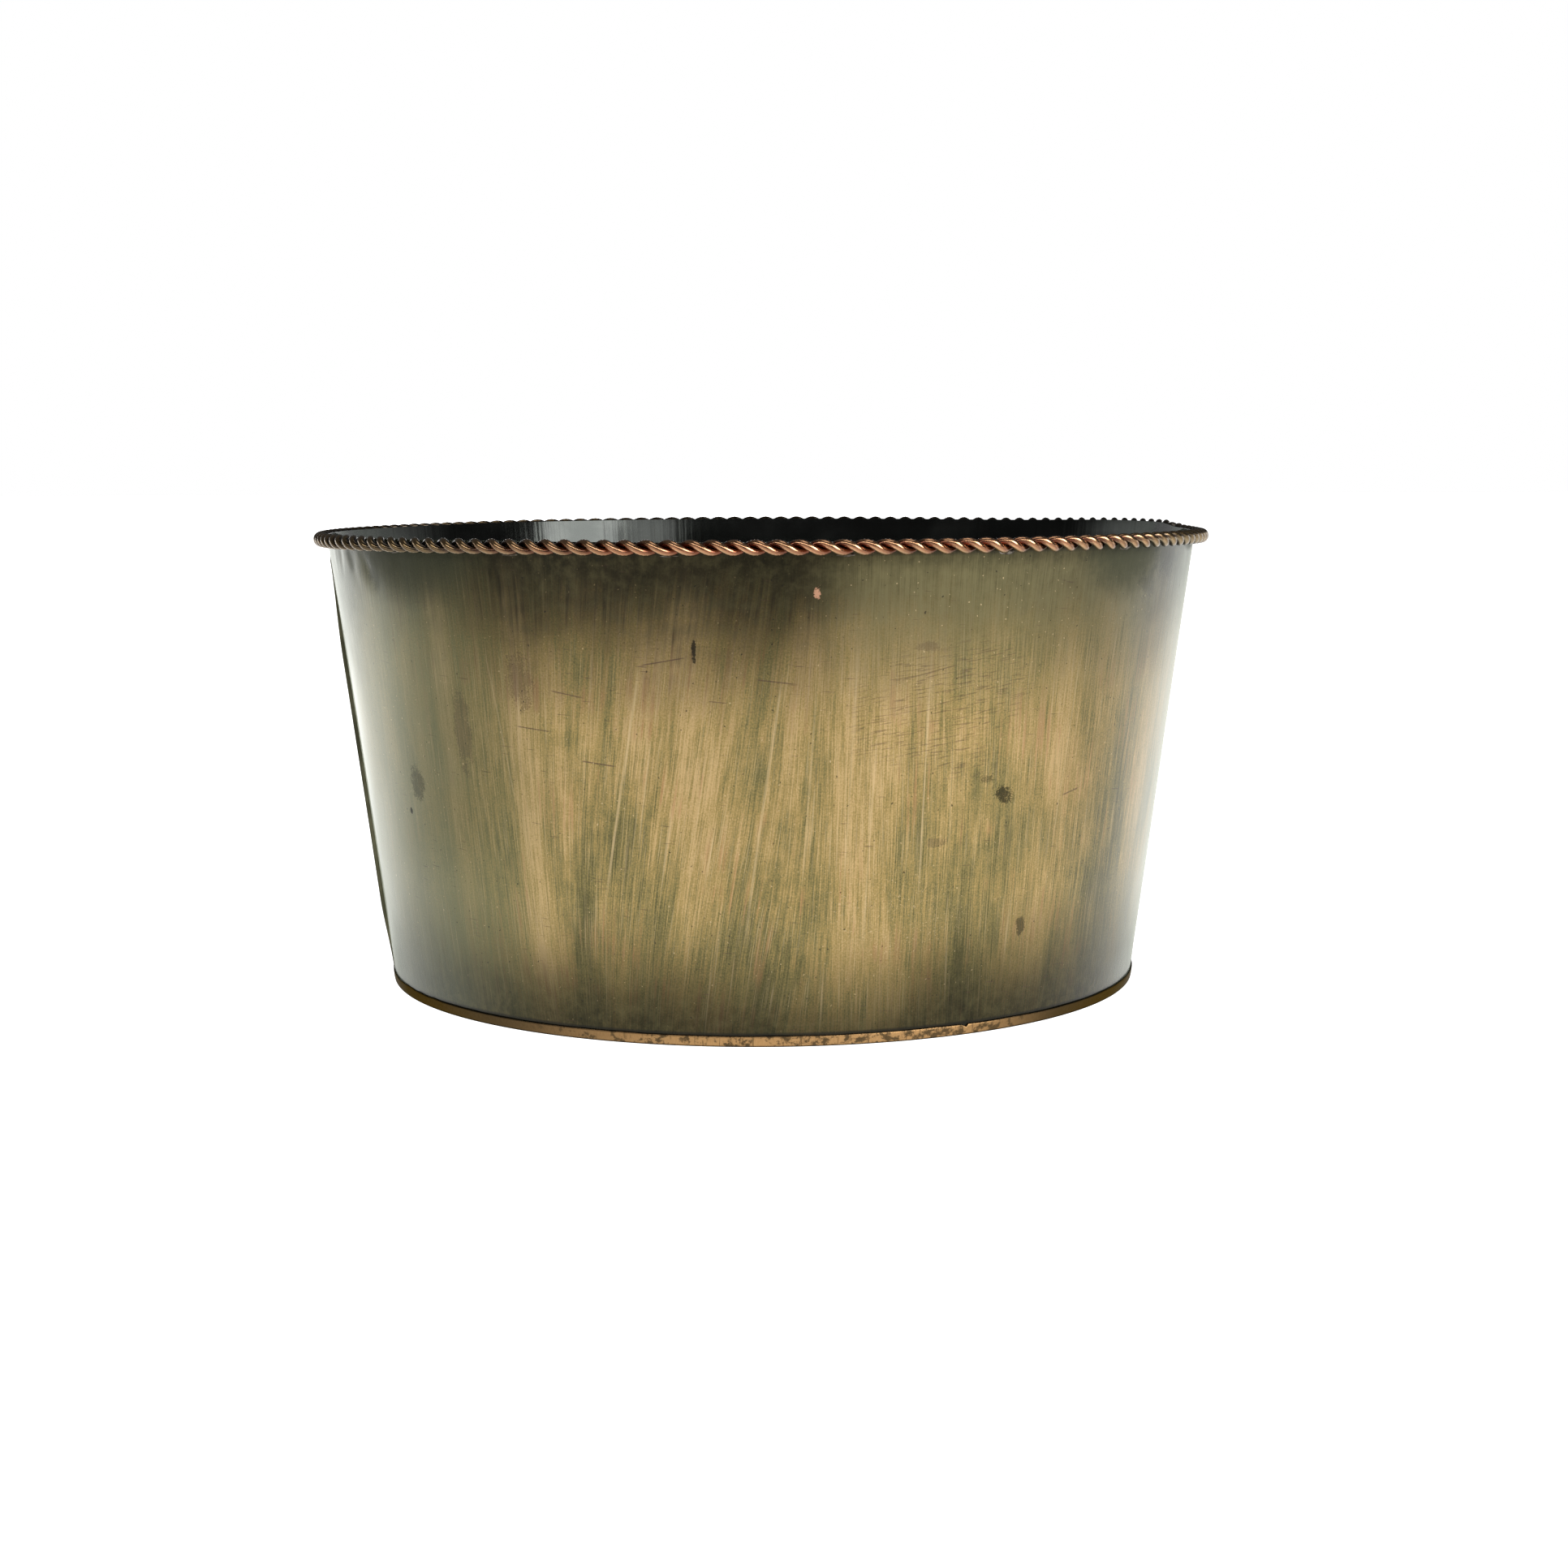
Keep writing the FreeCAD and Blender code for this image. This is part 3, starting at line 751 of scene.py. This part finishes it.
def seamHeight(azimuth, height):
    foot, low, high, top = wall["seamEnds"]
    aside = abs(angleBetween(azimuth, pot["seamAzimuth"])) * wallRadius(height)
    across = 1 - smoothStep(wall["seamHalf"] - wall["seamSide"], wall["seamHalf"], aside)
    share = smoothStep(foot, low, height) * (1 - smoothStep(high, top, height))
    ends = smoothStep(foot - 1 * mm, foot, height) * (1 - smoothStep(top, top + 1 * mm, height))
    return across * ends * (wall["seamFlat"] + share * (wall["seamProud"] - wall["seamFlat"]))


def sheetShift(azimuth, height):
    # how far the sheet stands out of a true cone
    sway = wall["sway"] * noise.noise(onRing(azimuth, 1.9, height / (70 * mm)))
    held = smoothStep(*wall["freeAbove"], height) * (1 - smoothStep(*wall["heldAbove"], height))
    ripple = 0.0
    for middle, level, leaning, wide, tall, deep in wall["dents"]:
        up = height / mm - level
        aside = angleBetween(azimuth, math.radians(middle + leaning * up)) * pot["lipRadius"] / mm
        ripple += deep * mm * math.exp(-(aside / wide) ** 2 - (up / tall) ** 2)
    return (sway - ripple) * held


def makeWall():
    mesh = bmesh.new()
    start = pot["seamAzimuth"] + math.radians(2)
    lip, foot, sheet = pot["lipHeight"], pot["footHeight"], pot["sheet"]
    top = wallRadius(lip)
    edges = addLine(mesh, [
        onRing(start, pot["footRadius"], foot), onRing(start, top, lip),
        onRing(start, top - sheet / 2, lip + wall["crown"]), onRing(start, top - sheet, lip),
        onRing(start, pot["footRadius"] - sheet, foot)], closed=True)
    bmesh.ops.subdivide_edges(mesh, edges=[edges[0], edges[3]], cuts=wall["rows"] - 1)
    profile = mesh.verts[:] + mesh.edges[:]
    for past, wide, steps in wall["sweeps"]:
        sweep(mesh, profile, past, wide, steps)
    closeSkin(mesh)
    for face in mesh.faces:
        middle = face.calc_center_median()
        radius = middle.xy.length
        aside = abs(angleBetween(math.atan2(middle.y, middle.x), pot["seamAzimuth"])) * radius
        if radius < wallRadius(middle.z) - 0.75 * sheet:
            face.material_index = 1      # inside
        elif aside < wall["foldAndShadeHalf"] and middle.z > wall["seamEnds"][0]:
            face.material_index = 2      # folded strip, and painted shade on the wall beside it
    smoothAll(mesh)
    for vert in mesh.verts:
        azimuth, radius, height = math.atan2(vert.co.y, vert.co.x), vert.co.xy.length, vert.co.z
        shift = sheetShift(azimuth, height)
        if radius > wallRadius(height) - sheet * 0.4:
            shift += seamHeight(azimuth, height)
        vert.co = onRing(azimuth, radius + shift, height + rimSag(azimuth) * (height / lip) ** 2)
    materials = [finishes[name] for name in ("brass", "inside", "foldAndShade")]
    finishPiece(mesh, "wall_shell", materials, ["body_wall"])


pan = {
    "steps": 900,
    "rim": panHigh.z - 0.1 * mm,
    "gap": 0.10 * mm,
    "corner": 0.4 * mm,
    "ring": 119 * mm,
    "step": 3.0 * mm,
    "lift": 1.5 * mm,
    "flare": 0.12 * mm,      # the rim's edge is rounded by this much
    "crimp": 0.16 * mm,      # how far the rim is bent in and out, most at the left
    "crimpAzimuth": math.radians(206),
    "crimpHalf": math.radians(10),
    "notchAzimuth": math.radians(299.5),
    "notchDepth": 1.3 * mm,
    "notchHalf": 0.9 * mm,
}


def makePan():
    mesh = bmesh.new()
    sheet, corner, rim = pot["sheet"], pan["corner"], pan["rim"]
    inner = pot["footRadius"] + pan["gap"] - pot["footHeight"] * slope
    outer = inner + sheet
    points = [(0.0, pan["lift"]), (pan["ring"] - pan["step"], pan["lift"]), (pan["ring"], 0.0)]
    points += [(outer - corner * (1 - math.sin(turn)), corner * (1 - math.cos(turn)))
               for turn in (math.radians(degrees) for degrees in (0, 30, 60, 90))]
    points += [(outer + rim * share * slope, rim * share) for share in (0.3, 0.55, 0.8, 0.94)]
    points += [(outer + rim * slope - pan["flare"], rim), (inner + rim * slope + pan["flare"], rim)]
    points += [(inner + rim * slope, rim * 0.94), (inner, sheet), (pan["ring"], sheet)]
    points += [(pan["ring"] - pan["step"], pan["lift"] + sheet), (0.0, pan["lift"] + sheet)]
    addLine(mesh, [(across, 0, up) for across, up in points])
    sweep(mesh, mesh.verts[:] + mesh.edges[:], 0, 360, pan["steps"])
    closeSkin(mesh)
    for face in mesh.faces:
        middle = face.calc_center_median()
        if middle.xy.length < inner and middle.z > sheet * 0.9:
            face.material_index = 1      # inside
        elif middle.xy.length < outer - corner:
            face.material_index = 2      # underneath
    smoothAll(mesh)
    for vert in mesh.verts:
        azimuth, radius, height = math.atan2(vert.co.y, vert.co.x), vert.co.xy.length, vert.co.z
        if radius < pan["ring"] + 1 * mm:
            continue
        upper = smoothStep(0.8 * mm, rim, height)
        left = math.exp(-(angleBetween(azimuth, pan["crimpAzimuth"]) / pan["crimpHalf"]) ** 2)
        wave = 0.8 * noise.noise(onRing(azimuth, 9.0, 0))
        wave += (0.4 + 2.0 * left) * noise.noise(onRing(azimuth, 24.0, 2))
        aside = abs(angleBetween(azimuth, pan["notchAzimuth"])) * radius
        notch = max(0.0, 1 - aside / pan["notchHalf"]) * smoothStep(1.6 * mm, rim, height)
        out = pan["crimp"] * (0.5 + 1.2 * left) * (noise.noise(onRing(azimuth, 15.0, 6)) - 0.3) * upper
        up = pan["crimp"] * (wave - 0.7) * upper - notch * pan["notchDepth"]
        vert.co = onRing(azimuth, radius + out, height + up)
    materials = [finishes[name] for name in ("band", "panInside", "panUnder")]
    finishPiece(mesh, "pan_shell", materials, ["base_pan"])


rope = {
    "radius": wireHigh.x - (wireHigh.z - wireLow.z) / 2 - 0.1 * mm,
    "height": (wireHigh.z + wireLow.z) / 2,
    "offset": 1.235 * mm,
    "wire": 1.22 * mm,
    "turns": 74,
    "stations": 16,          # to a turn
    "sides": 14,
    "joint": math.radians(12),
    "uneven": 0.10 * mm,
    "loose": 0.4,            # how far the twist runs ahead or behind, in radians
    "sharp": math.radians(70),
}


def ropePoint(azimuth, outwards, up):
    # a place in the rope's own section, carried round the rim
    loose = rope["loose"] * noise.noise(onRing(azimuth, 5.0, 8))
    turned = Vector((outwards, up)) @ Matrix.Rotation(loose, 2)
    radius = rope["radius"] + rope["uneven"] * (noise.noise(onRing(azimuth, 6.0, 1)) - 0.3)
    return onRing(azimuth, radius + turned.x, rope["height"] + rimSag(azimuth) + turned.y)


def twist(mesh, ring, turns, pitch):
    steps = round(turns * rope["stations"])
    made = bmesh.ops.spin(mesh, geom=ring, cent=(0, 0, 0), axis=(1, 0, 0), angle=-2 * math.pi * turns,
                          dvec=(pitch * turns / steps, 0, 0), steps=steps, use_merge=False)
    return made["geom_last"]


def makeWire(name, node, phase):
    # a straight twisted wire first, along X, that is then laid round the rim
    mesh = bmesh.new()
    pitch = 2 * math.pi * rope["radius"] / rope["turns"]
    lean = math.atan(2 * math.pi * rope["offset"] / pitch)
    place = Matrix.Rotation(phase, 4, "X") @ Matrix.Translation((0, rope["offset"], 0))
    place = place @ Matrix.Rotation(lean, 4, "Y") @ Matrix.Rotation(math.radians(90), 4, "Y")
    bmesh.ops.create_circle(mesh, segments=rope["sides"], radius=rope["wire"], cap_ends=False, matrix=place)
    last = twist(mesh, mesh.verts[:] + mesh.edges[:], 0.5, pitch)
    known = len(mesh.faces)
    twist(mesh, last, 1, pitch)
    mesh.faces.ensure_lookup_table()
    piece = mesh.faces[known:]
    for index in range(1, rope["turns"] - 1):
        copy = bmesh.ops.duplicate(mesh, geom=piece)["geom"]
        verts = [item for item in copy if isinstance(item, bmesh.types.BMVert)]
        bmesh.ops.translate(mesh, verts=verts, vec=(pitch * index, 0, 0))
    bmesh.ops.remove_doubles(mesh, verts=mesh.verts, dist=mergeWithin)
    bmesh.ops.holes_fill(mesh, edges=[edge for edge in mesh.edges if edge.is_boundary], sides=0)
    closeSkin(mesh)
    smoothAll(mesh, rope["sharp"])
    # read by its finish: how far out on the rope a point lies, on which side, how high, and how
    # far it faces up
    crown, outside, upper, tilt = (mesh.verts.layers.float.new(layer)
                                   for layer in ("crown", "outside", "upper", "tilt"))
    mesh.normal_update()
    start = rope["joint"] + math.pi / 2 / rope["turns"]
    for vert in mesh.verts:
        vert[crown] = math.hypot(vert.co.y, vert.co.z) / (rope["offset"] + rope["wire"])
        vert[outside] = smoothStep(-0.6 * mm, 0.5 * mm, vert.co.y + 0.25 * vert.co.z)
        vert[upper] = smoothStep(-2.2 * mm, -0.2 * mm, vert.co.z)
        vert[tilt] = vert.normal.z
        vert.co = ropePoint(start + vert.co.x / rope["radius"], vert.co.y, vert.co.z)
    finishPiece(mesh, name, [finishes["wire"]], [node])


splice = {
    "length": 6.4 * mm,
    "thick": 2.25 * mm,
}


def makeSplice():
    mesh = bmesh.new()
    bmesh.ops.create_icosphere(mesh, subdivisions=4, radius=1.0)
    smoothAll(mesh)
    for vert in mesh.verts:
        lump = 0.94 + 0.10 * noise.noise(vert.co * 1.7 + Vector((2, 5, 1)))
        along, out, up = vert.co * lump
        azimuth = rope["joint"] + along * splice["length"] / 2 / rope["radius"]
        vert.co = ropePoint(azimuth, out * splice["thick"], up * splice["thick"])
    finishPiece(mesh, "splice_drop", [finishes["solder"]], ["rim_splice"])


tacks = {
    "count": 18,
    "length": 7.0 * mm,
    "middle": 150.5 * mm,
    "high": 0.95 * mm,
    "thick": 0.9 * mm,
    "sunk": 0.1 * mm,
}


def makeTacks():
    mesh = bmesh.new()
    for index in range(tacks["count"]):
        azimuth = 2 * math.pi * index / tacks["count"]
        height = tacks["middle"] + rimSag(azimuth)
        made = bmesh.ops.create_icosphere(mesh, subdivisions=3, radius=1.0)["verts"]
        for vert in made:
            lump = 0.85 + 0.25 * noise.noise(vert.co * 1.6 + Vector((index * 3.7, 0, 0)))
            along, out, up = vert.co * lump
            aside = azimuth + along * tacks["length"] / 2 / pot["lipRadius"]
            low = height + up * tacks["high"]
            vert.co = onRing(aside, wallRadius(low) - tacks["sunk"] + max(0.0, out) * tacks["thick"], low)
    smoothAll(mesh)
    finishPiece(mesh, "solder_tacks", [finishes["solder"]], ["rim_solder"])


bead = {
    "high": 1.7 * mm,
    "wide": 1.8 * mm,
    "steps": 480,
    # its section from the corner out over the pan and up to the wall, as shares of both
    "section": ((0.0, 0.0), (-1.0, 0.0), (-0.62, 0.24), (-0.30, 0.50), (-0.08, 0.82), (0.0, 1.0)),
}


def makeBead():
    mesh = bmesh.new()
    floor = pot["sheet"] + 0.02 * mm
    against = pot["footRadius"] - pot["sheet"]
    addLine(mesh, [(against + out * bead["wide"] + up * bead["high"] * slope, 0, floor + up * bead["high"])
                   for out, up in bead["section"]], closed=True)
    sweep(mesh, mesh.verts[:] + mesh.edges[:], 0, 360, bead["steps"])
    closeSkin(mesh)
    smoothAll(mesh)
    for vert in mesh.verts:
        azimuth, radius, height = math.atan2(vert.co.y, vert.co.x), vert.co.xy.length, vert.co.z
        swell = noise.noise(onRing(azimuth, 30.0, 3)) + 0.6 * noise.noise(onRing(azimuth, 70.0, 9))
        inwards = against + (height - floor) * slope - radius
        vert.co = onRing(azimuth, radius - 0.35 * inwards * swell, height + 0.2 * (height - floor) * swell)
    finishPiece(mesh, "solder_bead", [finishes["solder"]], ["base_solder"])


makeWall()
makePan()
makeWire("rope_wire_a", "rim_wire_a", 0.0)
makeWire("rope_wire_b", "rim_wire_b", math.pi)
makeSplice()
makeTacks()
makeBead()
